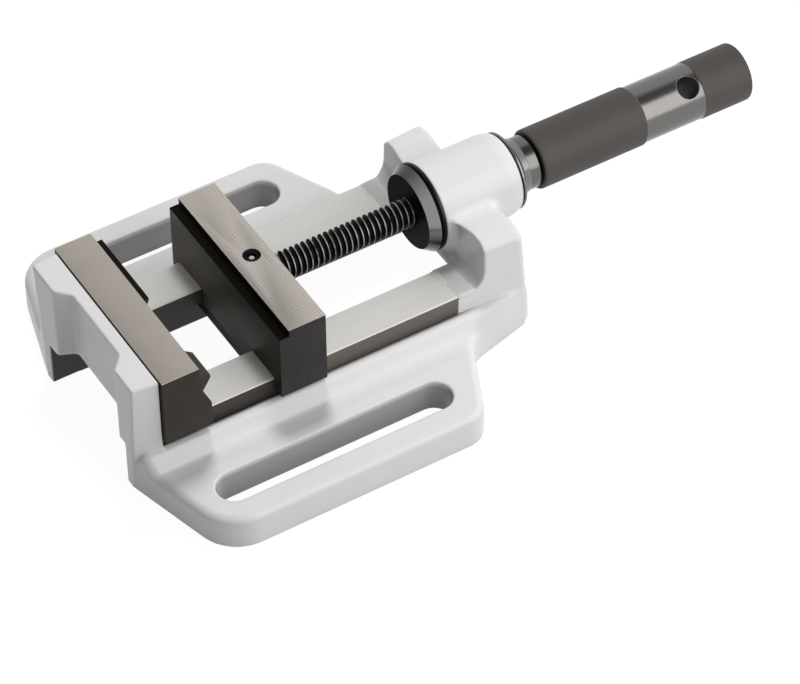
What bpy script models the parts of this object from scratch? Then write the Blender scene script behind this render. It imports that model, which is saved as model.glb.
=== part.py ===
"""Drill press vise: a cast body on two slotted lugs, a grooved fixed jaw plate, a moving jaw that
slides on the rails, and a plain screw that a turning handle sleeve draws in and out.

Lengths are in metres, +X runs along the screw from the fixed jaw to the handle, +Z is up, and the
body stands on z = 0.  Stations named ..._X are measured from the front of the body and are set
into the frame by at(), which puts the origin midway between the front and the end of the handle.
"""

import math

import bmesh
import bpy
from mathutils import Matrix, Vector

# Fits
GAP = 0.0003                # between two faces that touch
RUNNING = 0.0003            # radial play of what turns or slides in a bore
OVER = 0.002                # how far a cutter runs past the face that it cuts

# Rails and the channel between them
CHANNEL_HALF = 0.0352
RAIL_TOP = 0.0335
RAIL_UNDERSIDE = 0.0240
RAIL_INNER = CHANNEL_HALF - 0.0123      # each rail reaches in over the channel
RAIL_OUTER = CHANNEL_HALF + 0.0086      # and stands on a leg of this width

# Lugs
LUG_HALF = 0.0995
LUG_TOP = 0.0177
LUG_EDGE_RADIUS = 0.0040
LUG_SETBACK = 0.0003        # of the base's front edge behind the wall's face
CORE_INSET = 0.0016         # how far the core under the rails stays inside the base's outline
LUG_FRONT_CORNER_Y = CHANNEL_HALF + 0.0068
LUG_FRONT_SLANT = 0.28      # how far the front edge falls back for each unit of width
LUG_REAR_X = 0.1506
LUG_REAR_SLANT = 0.463
LUG_CORNER_FRONT = 0.0220
LUG_CORNER_REAR = 0.0130
LUG_ROOT_RADIUS = 0.0160
SLOT_SHARE = 0.3768         # how far out the slot lies between the valley and the lug's edge
SLOT_WIDTH = 0.0174
SLOT_START_X = 0.0240
SLOT_LENGTH = 0.1209

# Bead that runs along each rail, and the valley outside it
BEAD_Y = RAIL_OUTER + 0.0035
BEAD_TOP = 0.0243
BEAD_RADIUS = 0.0035
VALLEY_Y = RAIL_OUTER + 0.0122
VALLEY_Z = 0.0168
VALLEY_END_Y = VALLEY_Y + 0.0090

# Rear end of the body
REAR_X = 0.2074
REAR_HALF = RAIL_OUTER + 0.0026
SIDE_TAPER = 0.26
REAR_CORNER = 0.0050

# Front wall
WALL_FRONT_X = 0.0008
WALL_BACK_X = 0.0139
WALL_HALF = RAIL_OUTER + 0.0042
WALL_CORNER_TOP_Y = WALL_HALF - 0.0015      # front corner of the wall's end, at its top
WALL_CORNER_FOOT_Y = WALL_HALF - 0.0065     # and at its foot
WALL_TOP = 0.0669
WALL_FOOT_Z = 0.0060
WALL_EDGE = 0.0010
RECESS_Y = -0.0020          # the recess lies a little to one side
RECESS_DEPTH = 0.0063
RECESS_HALF = 0.0216
RECESS_MOUTH_HALF = 0.0284
ARCH_TOP = 0.0295
ARCH_FLAT_HALF = 0.0170
ARCH_SHOULDER_Z = 0.0222

# Bridge and screw housing
SPINDLE_Z = 0.0516
BRIDGE_FRONT_X = 0.1824
BRIDGE_FALL_BACK = 0.0014   # how much further back the front face lies at its outer ends
BRIDGE_REAR_X = 0.2043
BRIDGE_HALF = RAIL_OUTER + 0.0005       # at its front face
BRIDGE_FLARE = 0.0700       # how far its side spreads for each unit of length
BRIDGE_TOP = 0.0580
BRIDGE_SHOULDER = 0.0074
BRIDGE_UNDERSIDE = 0.0310
BRIDGE_FOOT = 0.0045        # fillet between its front face and the rail end
BRIDGE_REAR_EDGE = 0.0030
BRIDGE_REAR_INSET = CORE_INSET + 0.0003     # how far its foot stays inside the body's rear end
RAIL_END_X = 0.1710         # where the machined rail gives way to the cast surface
RAIL_END_RISE = 0.0005
HOUSING_RADIUS = 0.0206
HOUSING_FRONT_X = 0.1790
HOUSING_REAR_X = 0.2217
HOUSING_EDGE = 0.0008

# Fixed jaw plate
PLATE_TOP = 0.0674
PLATE_HALF = RAIL_OUTER + 0.0062        # it hangs over the outer side of each rail
PLATE_THICK = 0.0239
PLATE_REBATE_WIDE = 0.0054
PLATE_REBATE_DEEP = 0.0065
PLATE_SKIRT = 0.0038        # how far its ends hang below the rail tops
PLATE_GROOVE_TOP = 0.0590
PLATE_GROOVE_APEX = 0.0523
PLATE_GROOVE_FOOT = 0.0432
PLATE_GROOVE_DEEP = 0.0041
PLATE_RELIEF_Y = -0.0140
PLATE_RELIEF_HALF = 0.0200
PLATE_RELIEF_DEEP = 0.0054
PLATE_SCREW_Y = PLATE_HALF - 0.0100
PLATE_SCREW_Z = 0.0386

# Moving jaw
JAW_TOP = 0.0667
JAW_HALF = RAIL_OUTER + 0.0062
JAW_THICK = 0.0238
JAW_REBATE_WIDE = 0.0048
JAW_REBATE_DEEP = 0.0038
JAW_SKIRT = 0.0068
JAW_OPENING = 0.0352        # between the jaw faces as drawn
JAW_EDGE = 0.0004

# Keeper plate under the rails
KEEPER_THICK = 0.0068
KEEPER_HALF = CHANNEL_HALF - 0.0022     # clear of the legs
KEEPER_INSET = 0.0010
KEEPER_SCREW_Y = 0.0120

# Screws: shank, head and socket
SMALL_SCREW = 0.0050
SMALL_HEAD = 0.0085
SMALL_HEAD_HIGH = 0.0050
KEEPER_SCREW = 0.0060
KEEPER_HEAD = 0.0114
LOCK_SCREW = 0.0080
GRUB_SCREW = 0.0050
SOCKET_SHARE = 0.46         # hexagon across flats as a share of the head
PLATE_SCREW_LENGTH = 0.0270
PLATE_TAP_SPARE = 0.0015    # depth of the tapped hole beyond the screw's tip
KEEPER_SCREW_LENGTH = 0.0220
KEEPER_TAP_SPARE = 0.0015
KEEPER_HEAD_SUNK = 0.0002
HEAD_LAND = 0.0004          # cylindrical edge of a countersunk head
LOCK_SCREW_LENGTH = 0.0060

# Screw that draws the moving jaw
THREAD_RADIUS = 0.0070
NOSE_RADIUS = 0.0060
NOSE_LENGTH = 0.0165
SPINDLE_REACH = 0.1425      # from the moving jaw's back to the screw's far end
SPINDLE_CHAMFER = 0.0010
LOCK_SCREW_INSET = 0.0091   # from the jaw's back to the lock screw

# Sleeve with the internal thread, washer and retaining ring
COLLAR_FACE_RADIUS = 0.0184
COLLAR_RADIUS = 0.0217
COLLAR_BEVEL = 0.0053
COLLAR_THICK = 0.0064
WASHER_THICK = 0.0015
SLEEVE_RADIUS = 0.0131
NUT_LENGTH = 0.0350
SLEEVE_RELIEF = 0.0083
NECK_END_X = 0.2363
SPIGOT_RADIUS = 0.0107
SPIGOT_SHARE = 0.2634       # of the handle's length
RING_RADIUS = 0.0200
RING_LAND = 0.0028
RING_LENGTH = 0.0087

# Handle
HANDLE_END_X = 0.3540
GRIP_RADIUS = 0.0148
BAND_RADIUS = 0.0142
END_GRIP_RADIUS = 0.0145
GRIP_SHARE = 0.4945         # shares of the handle's length, counted from the neck
BAND_START_SHARE = 0.5157
BAND_END_SHARE = 0.7689
BAND_STEP = 0.0005
HANDLE_EDGE = 0.0006
HANDLE_END_EDGE = 0.0013
HANDLE_BORE = 0.0086
HANDLE_BORE_SHARE = 0.6432
CROSS_HOLE_SHARE = 0.7145
CROSS_HOLE = 0.0104
CROSS_HOLE_TILT = math.radians(33.5)
GRUB_SHARE = 0.1334
GRUB_SUNK = 0.0008
GRUB_SEAT_RADIUS = 0.0092   # where the grub screw's tip meets the sleeve

# Facets
ROUND = 48
FINE = 64
HOLE = 20

PLATE_BACK_X = WALL_BACK_X + GAP
PLATE_FACE_X = PLATE_BACK_X + PLATE_THICK
JAW_FACE_X = PLATE_FACE_X + JAW_OPENING
JAW_BACK_X = JAW_FACE_X + JAW_THICK
WASHER_X = HOUSING_FRONT_X - GAP - WASHER_THICK
COLLAR_X = WASHER_X - GAP - COLLAR_THICK
RING_X = HOUSING_REAR_X + 2 * GAP


def at(station):
    """Frame X of a station measured from the front of the body."""
    return station - (WALL_FRONT_X + HANDLE_END_X) / 2


def on_handle(share):
    """Frame X at a share of the handle's length behind the neck."""
    return at(NECK_END_X + share * (HANDLE_END_X - NECK_END_X))


def slot_y():
    return VALLEY_END_Y + SLOT_SHARE * (LUG_HALF - VALLEY_END_Y)


def material(name, colour, roughness, metallic):
    found = bpy.data.materials.new(name)
    found.use_nodes = True
    shader = found.node_tree.nodes["Principled BSDF"]
    shader.inputs["Base Color"].default_value = (*colour, 1.0)
    shader.inputs["Roughness"].default_value = roughness
    shader.inputs["Metallic"].default_value = metallic
    return found


def place(name, mesh_data, look=None, location=(0, 0, 0), parent=None):
    """Link a bmesh as an object; without a look it is a guide that is left out of the part."""
    bmesh.ops.recalc_face_normals(mesh_data, faces=mesh_data.faces)
    mesh = bpy.data.meshes.new(name)
    mesh_data.to_mesh(mesh)
    mesh_data.free()
    mesh.shade_smooth()
    mesh.set_sharp_from_angle(angle=math.radians(35))
    piece = bpy.data.objects.new(name, mesh)
    piece.location = location
    piece.parent = parent
    bpy.context.collection.objects.link(piece)
    if look is None:
        piece.hide_render = True
        piece.display_type = "WIRE"
    else:
        mesh.materials.append(look)
    return piece


def combine(piece, tools, operation):
    for tool in tools:
        modifier = piece.modifiers.new(tool.name, "BOOLEAN")
        modifier.operation = operation
        modifier.solver = "EXACT"
        modifier.object = tool


def soften(piece, width, segments=1, angle=50):
    modifier = piece.modifiers.new("edges", "BEVEL")
    modifier.width = width
    modifier.segments = segments
    modifier.limit_method = "ANGLE"
    modifier.angle_limit = math.radians(angle)


def loft(rings):
    """Closed solid through rings of equal length, with a flat face on each end."""
    result = bmesh.new()
    rows = [[result.verts.new(point) for point in ring] for ring in rings]
    count = len(rows[0])
    for low, high in zip(rows, rows[1:]):
        for index in range(count):
            after = (index + 1) % count
            result.faces.new((low[index], low[after], high[after], high[index]))
    result.faces.new(rows[0])
    result.faces.new(rows[-1])
    return result


def along_x(profile, start, end):
    return loft([[(x, y, z) for y, z in profile] for x in (start, end)])


def along_y(profile, start, end):
    return loft([[(x, y, z) for x, z in profile] for y in (start, end)])


def along_z(profile, start, end):
    return loft([[(x, y, z) for x, y in profile] for z in (start, end)])


def box(low, high):
    (x0, y0, z0), (x1, y1, z1) = low, high
    return along_z([(x0, y0), (x1, y0), (x1, y1), (x0, y1)], z0, z1)


def turned(profile, segments=ROUND, tube=False):
    """Revolve (x, radius) points about the X axis, with flat ends, or joined up as a tube."""
    result = bmesh.new()
    angles = [2 * math.pi * step / segments for step in range(segments)]
    rows = [[result.verts.new((x, radius * math.cos(a), radius * math.sin(a))) for a in angles]
            for x, radius in profile]
    for low, high in zip(rows, rows[1:] + rows[:1] if tube else rows[1:]):
        for index in range(segments):
            after = (index + 1) % segments
            result.faces.new((low[index], low[after], high[after], high[index]))
    if not tube:
        result.faces.new(rows[0])
        result.faces.new(rows[-1])
    return result


def rod(radius, start, end, segments=HOLE):
    return turned([(start, radius), (end, radius)], segments)


def turn_to(mesh_data, direction, origin=(0, 0, 0)):
    """Turn a piece made along +X to a direction and set its start at a point."""
    turn = Vector(direction).to_track_quat("X", "Z").to_matrix().to_4x4()
    bmesh.ops.transform(mesh_data, matrix=Matrix.Translation(origin) @ turn, verts=mesh_data.verts)
    return mesh_data


def rounded(corners, steps=8):
    """Outline from (x, y, radius) corners, each corner turned into an arc."""
    outline = []
    for index, (x, y, radius) in enumerate(corners):
        here = Vector((x, y))
        before = (Vector(corners[index - 1][:2]) - here).normalized()
        after = (Vector(corners[(index + 1) % len(corners)][:2]) - here).normalized()
        if radius == 0:
            outline.append((x, y))
            continue
        half = before.angle(after) / 2
        centre = here + (before + after).normalized() * (radius / math.sin(half))
        first = here + before * (radius / math.tan(half)) - centre
        last = here + after * (radius / math.tan(half)) - centre
        start = math.atan2(first.y, first.x)
        sweep = math.atan2(last.y, last.x) - start
        sweep = (sweep + math.pi) % (2 * math.pi) - math.pi
        for step in range(steps + 1):
            angle = start + sweep * step / steps
            outline.append((centre.x + radius * math.cos(angle), centre.y + radius * math.sin(angle)))
    return outline


def ease(start, end, slope, steps):
    """Points from start to end, leaving with a slope and arriving level."""
    span = end[0] - start[0]
    points = []
    for step in range(1, steps + 1):
        t = step / steps
        leave = t ** 3 - 2 * t ** 2 + t
        rise = 3 * t ** 2 - 2 * t ** 3
        points.append((start[0] + span * t, start[1] + (end[1] - start[1]) * rise + slope * span * leave))
    return points


def lug_corners(inset=0.0):
    """Corners of the body seen from above, +Y side, moved inwards by an inset."""
    side = LUG_HALF - inset
    front = WALL_FRONT_X + LUG_SETBACK + inset
    front_lean = inset * (math.hypot(1, LUG_FRONT_SLANT) - 1)
    rear_lean = inset * math.hypot(1, LUG_REAR_SLANT)
    side_lean = inset * math.hypot(1, SIDE_TAPER)
    corner_x = front + front_lean + (side - LUG_FRONT_CORNER_Y) * LUG_FRONT_SLANT
    rear_x = LUG_REAR_X - rear_lean + inset * LUG_REAR_SLANT
    rear_half = REAR_HALF - side_lean + inset * SIDE_TAPER
    base_y = rear_half + SIDE_TAPER * (REAR_X - inset)
    root_y = (base_y - SIDE_TAPER * (rear_x + side * LUG_REAR_SLANT)) / (1 - SIDE_TAPER * LUG_REAR_SLANT)
    root_x = rear_x + (side - root_y) * LUG_REAR_SLANT
    return [
        (front, LUG_FRONT_CORNER_Y - inset * LUG_FRONT_SLANT / 2, 0.006),
        (corner_x, side, LUG_CORNER_FRONT - inset),
        (rear_x, side, LUG_CORNER_REAR - inset),
        (root_x, root_y, LUG_ROOT_RADIUS + inset),
        (REAR_X - inset, rear_half, REAR_CORNER - inset * 0.8),
    ]


def plan_outline(corners):
    """Full outline in the frame from +Y side corners."""
    half = [(at(x), y, radius) for x, y, radius in corners]
    return rounded(half + [(x, -y, radius) for x, y, radius in reversed(half)])


def lug_plate():
    """The base seen from above, its upper edge rounded by rings of smaller outline."""
    rings = [[(x, y, 0.0) for x, y in plan_outline(lug_corners())]]
    steps = 4
    for step in range(steps + 1):
        angle = math.pi / 2 * step / steps
        inset = LUG_EDGE_RADIUS * (1 - math.cos(angle))
        height = LUG_TOP - LUG_EDGE_RADIUS * (1 - math.sin(angle))
        rings.append([(x, y, height) for x, y in plan_outline(lug_corners(inset))])
    return loft(rings)


def core_plate():
    """The part of the base under rails and beads, as high as the rails."""
    edge_y = VALLEY_Y + 0.001
    (front, front_y, _), _, _, (root_x, root_y, _), (rear_x, rear_y, _) = lug_corners(CORE_INSET)
    edge_x = front + (edge_y - front_y) * LUG_FRONT_SLANT
    lip_x = root_x - (edge_y - root_y) * LUG_REAR_SLANT
    half = [(front, front_y), (edge_x, edge_y), (lip_x, edge_y), (root_x, root_y), (rear_x, rear_y)]
    return along_z(plan_outline([(x, y, 0.0) for x, y in half]), 0.0, RAIL_TOP)


def cross_section():
    """Rails, legs, beads, valleys and lugs cut across the body, as one closed outline."""
    bead_z = BEAD_TOP - BEAD_RADIUS
    half = [(CHANNEL_HALF, -OVER), (CHANNEL_HALF, RAIL_UNDERSIDE), (RAIL_INNER, RAIL_UNDERSIDE),
            (RAIL_INNER, RAIL_TOP + OVER), (RAIL_OUTER, RAIL_TOP + OVER)]
    for step in range(7):
        angle = math.radians(178 - step * 24)
        half.append((BEAD_Y + BEAD_RADIUS * math.cos(angle), bead_z + BEAD_RADIUS * math.sin(angle)))
    half += ease(half[-1], (VALLEY_Y, VALLEY_Z), -1.7, 6)
    half += ease(half[-1], (VALLEY_END_Y, LUG_TOP + OVER / 40), 0.0, 5)
    half += [(LUG_HALF + OVER, LUG_TOP + OVER / 40), (LUG_HALF + OVER, -OVER)]
    return half


def base_section(name, side):
    profile = [(side * y, z) for y, z in cross_section()]
    return place(name, along_x(profile, at(0) - OVER, at(REAR_X) + OVER))


def slot_cutter(name, side):
    radius = SLOT_WIDTH / 2
    low = at(SLOT_START_X)
    high = low + SLOT_LENGTH
    y = side * slot_y()
    outline = rounded([(low, y - radius, radius), (high, y - radius, radius),
                       (high, y + radius, radius), (low, y + radius, radius)], 8)
    return place(name, along_z(outline, -OVER, LUG_TOP + OVER))


def front_wall():
    """Wall behind the fixed jaw plate; the front corners of its ends lean in towards the foot."""
    rings = []
    for height, corner_y in ((WALL_FOOT_Z, WALL_CORNER_FOOT_Y), (WALL_TOP, WALL_CORNER_TOP_Y)):
        corners = [(WALL_FRONT_X, -corner_y), (WALL_BACK_X, -WALL_HALF),
                   (WALL_BACK_X, WALL_HALF), (WALL_FRONT_X, corner_y)]
        rings.append([(at(x), y, height) for x, y in corners])
    wall = place("front_wall", loft(rings))
    soften(wall, WALL_EDGE, 2, 40)
    return wall


def wall_recess():
    depth = at(WALL_FRONT_X + RECESS_DEPTH)
    front = at(WALL_FRONT_X)
    half = [(front - OVER, RECESS_MOUTH_HALF + 0.002, 0.0), (front, RECESS_MOUTH_HALF, 0.004),
            (depth, RECESS_HALF, 0.004)]
    corners = [(x, RECESS_Y - y, radius) for x, y, radius in half]
    corners += [(x, RECESS_Y + y, radius) for x, y, radius in reversed(half)]
    return place("wall_recess", along_z(rounded(corners, 4), -OVER, WALL_TOP + OVER))


def front_arch():
    """Opening under the front wall: flat in the middle, easing down to the legs."""
    half = [(ARCH_FLAT_HALF, ARCH_TOP)]
    half += ease(half[0], (CHANNEL_HALF, ARCH_SHOULDER_Z), 0, 6)
    profile = [(-y, z) for y, z in reversed(half)] + half
    profile += [(CHANNEL_HALF, -OVER), (-CHANNEL_HALF, -OVER)]
    return place("front_arch", along_x(profile, at(0) - OVER, at(WALL_BACK_X) + GAP))


def bridge_y(share, station):
    """Width of the bridge at a station, for a share of its half width from -1 to 1."""
    return share * (BRIDGE_HALF + BRIDGE_FLARE * (station - BRIDGE_FRONT_X))


def bridge():
    """Cross wall that carries the housing, lofted from one end of its width to the other."""
    shares = [0.0, 0.5] + [1 - (1 - math.sin(math.pi / 2 * step / 6)) * BRIDGE_SHOULDER / BRIDGE_HALF
                           for step in range(7)]
    shoulder_share = 1 - BRIDGE_SHOULDER / BRIDGE_HALF
    rings = []
    for share in [-s for s in reversed(shares[1:])] + shares:
        beyond = max(0.0, abs(share) - shoulder_share) / (1 - shoulder_share)
        top = BRIDGE_TOP - BRIDGE_SHOULDER * (1 - math.sqrt(max(0.0, 1 - beyond ** 2)))
        inner_share = HOUSING_RADIUS / BRIDGE_HALF
        outward = min(1.0, max(0.0, (abs(share) - inner_share) / (1 - inner_share)))
        front = BRIDGE_FRONT_X + BRIDGE_FALL_BACK * outward
        foot_z = RAIL_TOP + RAIL_END_RISE
        outline = [(RAIL_END_X, RAIL_UNDERSIDE), (RAIL_END_X, RAIL_TOP), (RAIL_END_X + RAIL_END_RISE, foot_z)]
        for step in range(6):
            angle = math.pi / 2 * step / 5
            outline.append((front - BRIDGE_FOOT * (1 - math.sin(angle)),
                            foot_z + BRIDGE_FOOT * (1 - math.cos(angle))))
        outline.append((front, top))
        for step in range(4):
            angle = math.pi / 2 * step / 3
            outline.append((BRIDGE_REAR_X - BRIDGE_REAR_EDGE * (1 - math.sin(angle)),
                            top - BRIDGE_REAR_EDGE * (1 - math.cos(angle))))
        outline.append((REAR_X - BRIDGE_REAR_INSET, RAIL_UNDERSIDE))
        rings.append([(at(x), bridge_y(share, x), z) for x, z in outline])
    return place("bridge", loft(rings))


def body(look):
    """The casting: a cross-section kept inside the plan, with wall, bridge and housing added."""
    piece = place("body", lug_plate(), look)
    combine(piece, [place("core_plate", core_plate())], "UNION")
    sections = [base_section("section_near", -1), base_section("section_far", 1)]
    combine(sections[0], sections[1:], "UNION")
    combine(piece, sections[:1], "INTERSECT")

    rear = at(HOUSING_REAR_X)
    housing = turned([(at(HOUSING_FRONT_X), HOUSING_RADIUS), (rear - HOUSING_EDGE, HOUSING_RADIUS),
                      (rear, HOUSING_RADIUS - HOUSING_EDGE)], FINE)
    housing = place("housing", housing, location=(0, 0, SPINDLE_Z))
    combine(piece, [front_wall(), bridge(), housing], "UNION")

    gap = place("rail_gap", box((at(WALL_BACK_X), -RAIL_INNER, -OVER),
                                (at(HOUSING_FRONT_X) - GAP, RAIL_INNER, SPINDLE_Z)))
    under = place("under_bridge", box((at(HOUSING_FRONT_X) - OVER, -RAIL_INNER, -OVER),
                                      (at(REAR_X) + OVER, RAIL_INNER, BRIDGE_UNDERSIDE)))
    bore = place("housing_bore", rod(SLEEVE_RADIUS + RUNNING, at(HOUSING_FRONT_X) - OVER,
                                     at(HOUSING_REAR_X) + OVER, FINE), location=(0, 0, SPINDLE_Z))
    holes = []
    for side in (-1, 1):
        deepest = at(PLATE_FACE_X - PLATE_SCREW_LENGTH) - PLATE_TAP_SPARE
        hole = rod(SMALL_SCREW / 2 + GAP, deepest, at(WALL_BACK_X) + OVER)
        holes.append(place(f"wall_hole_{side}", hole, location=(0, side * PLATE_SCREW_Y, PLATE_SCREW_Z)))
    slots = [slot_cutter("slot_near", -1), slot_cutter("slot_far", 1)]
    combine(piece, [wall_recess(), front_arch(), gap, under, bore] + slots + holes, "DIFFERENCE")
    return piece


def hexagon(across, start, end):
    return rod(across / math.sqrt(3), start, end, 6)


def cap_screw(name, look, shank, head, head_high, length, origin, direction):
    """Socket head screw drawn from its head's top face along a direction."""
    shape = turned([(0, head / 2), (head_high, head / 2), (head_high, shank / 2), (length, shank / 2)], 24)
    piece = place(name, turn_to(shape, direction, origin), look)
    socket = turn_to(hexagon(head * SOCKET_SHARE, -OVER, head_high * 0.6), direction, origin)
    combine(piece, [place(name + "_socket", socket)], "DIFFERENCE")
    return piece


def flat_screw(name, look, shank, head, length, origin, direction):
    """Countersunk socket screw drawn from its head's face along a direction."""
    cone = (head - shank) / 2
    profile = [(0, head / 2), (HEAD_LAND, head / 2), (HEAD_LAND + cone, shank / 2), (length, shank / 2)]
    shape = turned(profile, 24)
    piece = place(name, turn_to(shape, direction, origin), look)
    socket = turn_to(hexagon(head * SOCKET_SHARE * 0.8, -OVER, cone), direction, origin)
    combine(piece, [place(name + "_socket", socket)], "DIFFERENCE")
    return piece


def set_screw(name, look, diameter, length, origin, direction, parent=None, location=(0, 0, 0)):
    """Headless socket screw with a chamfered tip."""
    radius = diameter / 2
    shape = turned([(0, radius), (length - 0.001, radius), (length, radius - 0.001)], 24)
    piece = place(name, turn_to(shape, direction, origin), look, location, parent)
    socket = turn_to(hexagon(diameter * SOCKET_SHARE * 1.1, -OVER, length * 0.5), direction, origin)
    combine(piece, [place(name + "_socket", socket, None, location, parent)], "DIFFERENCE")
    return piece


def fixed_jaw_plate(look, screw_look):
    face = at(PLATE_FACE_X)
    back = at(PLATE_BACK_X)
    ledge = PLATE_TOP - PLATE_REBATE_DEEP
    foot = RAIL_TOP - PLATE_SKIRT
    profile = [(back, foot), (back, PLATE_TOP), (face - PLATE_REBATE_WIDE, PLATE_TOP),
               (face - PLATE_REBATE_WIDE, ledge), (face, ledge), (face, PLATE_GROOVE_TOP),
               (face - PLATE_GROOVE_DEEP, PLATE_GROOVE_APEX), (face, PLATE_GROOVE_FOOT), (face, foot)]
    plate = place("fixed_jaw_plate", along_y(profile, -PLATE_HALF, PLATE_HALF), look)
    seat = RAIL_OUTER + GAP
    saddle = box((back - OVER, -seat, foot - OVER), (face + OVER, seat, RAIL_TOP + GAP))
    saddle = place("plate_saddle", saddle)
    low = PLATE_RELIEF_Y - PLATE_RELIEF_HALF
    high = PLATE_RELIEF_Y + PLATE_RELIEF_HALF
    floor = face - PLATE_RELIEF_DEEP
    outline = [(floor, low + PLATE_RELIEF_DEEP), (floor, high - PLATE_RELIEF_DEEP / 3), (face, high),
               (face + OVER, high), (face + OVER, low), (face, low)]
    relief = place("plate_relief", along_z(outline, foot - OVER, ledge + OVER))
    cutters = [saddle, relief]
    for index, side in enumerate((-1, 1), 1):
        spot = (face - 0.0006, side * PLATE_SCREW_Y, PLATE_SCREW_Z)
        step_x = -SMALL_HEAD_HIGH - 0.0006 - GAP
        through = turned([(-PLATE_THICK - OVER, SMALL_SCREW / 2 + GAP), (step_x, SMALL_SCREW / 2 + GAP),
                          (step_x, SMALL_HEAD / 2 + GAP), (OVER, SMALL_HEAD / 2 + GAP)], 24)
        cutters.append(place(f"plate_hole_{index}", through, location=(face, spot[1], spot[2])))
        cap_screw(f"fixed_jaw_screw_{index}", screw_look, SMALL_SCREW, SMALL_HEAD, SMALL_HEAD_HIGH,
                  PLATE_SCREW_LENGTH, spot, (-1, 0, 0))
    combine(plate, cutters, "DIFFERENCE")
    return plate


def moving_jaw(look, parent):
    face = at(JAW_FACE_X)
    back = at(JAW_BACK_X)
    ledge = JAW_TOP - JAW_REBATE_DEEP
    foot = RAIL_TOP - JAW_SKIRT
    profile = [(face, foot), (face, ledge), (face + JAW_REBATE_WIDE, ledge),
               (face + JAW_REBATE_WIDE, JAW_TOP), (back, JAW_TOP), (back, foot)]
    jaw = place("moving_jaw", along_y(profile, -JAW_HALF, JAW_HALF), look, parent=parent)
    seat = RAIL_OUTER + GAP
    saddle = box((face - OVER, -seat, foot - OVER), (back + OVER, seat, RAIL_TOP + GAP))
    saddle = place("jaw_saddle", saddle, parent=parent)
    tongue = box((face + JAW_EDGE, GAP - RAIL_INNER, RAIL_UNDERSIDE),
                 (back - JAW_EDGE, RAIL_INNER - GAP, RAIL_TOP + OVER))
    tongue = place("jaw_tongue", tongue, parent=parent)
    bore = place("jaw_bore", rod(NOSE_RADIUS + GAP, back - NOSE_LENGTH - GAP, back + OVER, 32),
                 location=(0, 0, SPINDLE_Z), parent=parent)
    lock = turn_to(rod(LOCK_SCREW / 2 + GAP, 0, JAW_TOP - SPINDLE_Z + OVER), (0, 0, -1),
                   (at(JAW_BACK_X - LOCK_SCREW_INSET), 0, JAW_TOP + OVER))
    lock = place("lock_hole", lock, parent=parent)
    combine(jaw, [saddle], "DIFFERENCE")
    combine(jaw, [tongue], "UNION")
    taps = []
    for index, side in enumerate((-1, 1), 1):
        tap = rod(KEEPER_SCREW / 2 + GAP, -OVER, KEEPER_SCREW_LENGTH - KEEPER_THICK + KEEPER_TAP_SPARE)
        spot = ((face + back) / 2, side * KEEPER_SCREW_Y, RAIL_UNDERSIDE)
        taps.append(place(f"jaw_tap_{index}", turn_to(tap, (0, 0, 1), spot), parent=parent))
    combine(jaw, [bore, lock] + taps, "DIFFERENCE")
    return jaw


def keeper(look, screw_look, parent):
    """Plate that holds the jaw down, under both rails, with its two screws."""
    front = at(JAW_FACE_X) + KEEPER_INSET
    rear = at(JAW_BACK_X) - KEEPER_INSET
    top = RAIL_UNDERSIDE - GAP
    low = top - KEEPER_THICK
    plate = box((front, -KEEPER_HALF, low), (rear, KEEPER_HALF, top))
    plate = place("keeper_plate", plate, look, parent=parent)
    cone = (KEEPER_HEAD - KEEPER_SCREW) / 2
    holes = []
    for index, side in enumerate((-1, 1), 1):
        spot = ((front + rear) / 2, side * KEEPER_SCREW_Y, low)
        land = KEEPER_HEAD_SUNK + HEAD_LAND
        hole = turned([(-OVER, KEEPER_HEAD / 2 + GAP), (land, KEEPER_HEAD / 2 + GAP),
                       (land + cone, KEEPER_SCREW / 2 + GAP),
                       (KEEPER_THICK + OVER, KEEPER_SCREW / 2 + GAP)], 24)
        holes.append(place(f"keeper_hole_{index}", turn_to(hole, (0, 0, 1), spot), parent=parent))
        screw = flat_screw(f"keeper_screw_{index}", screw_look, KEEPER_SCREW, KEEPER_HEAD,
                           KEEPER_SCREW_LENGTH, (spot[0], spot[1], low + KEEPER_HEAD_SUNK), (0, 0, 1))
        screw.parent = parent
    combine(plate, holes, "DIFFERENCE")


def spindle(look, parent):
    """Screw fixed in the jaw: a nose in the jaw's bore, then the threaded length as a plain rod."""
    back = at(JAW_BACK_X)
    tip = back - NOSE_LENGTH
    end = back + SPINDLE_REACH
    profile = [(tip, NOSE_RADIUS - SPINDLE_CHAMFER), (tip + SPINDLE_CHAMFER, NOSE_RADIUS),
               (back + GAP, NOSE_RADIUS), (back + GAP, THREAD_RADIUS - 0.0004),
               (back + GAP + 0.0004, THREAD_RADIUS),
               (end - SPINDLE_CHAMFER, THREAD_RADIUS), (end, THREAD_RADIUS - SPINDLE_CHAMFER)]
    return place("spindle", turned(profile, 40), look, (0, 0, SPINDLE_Z), parent)


def lock_screw(look, parent):
    start = Vector((at(JAW_BACK_X - LOCK_SCREW_INSET), 0, SPINDLE_Z + NOSE_RADIUS + GAP + LOCK_SCREW_LENGTH))
    return set_screw("spindle_lock_screw", look, LOCK_SCREW, LOCK_SCREW_LENGTH, start, (0, 0, -1), parent)


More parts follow.
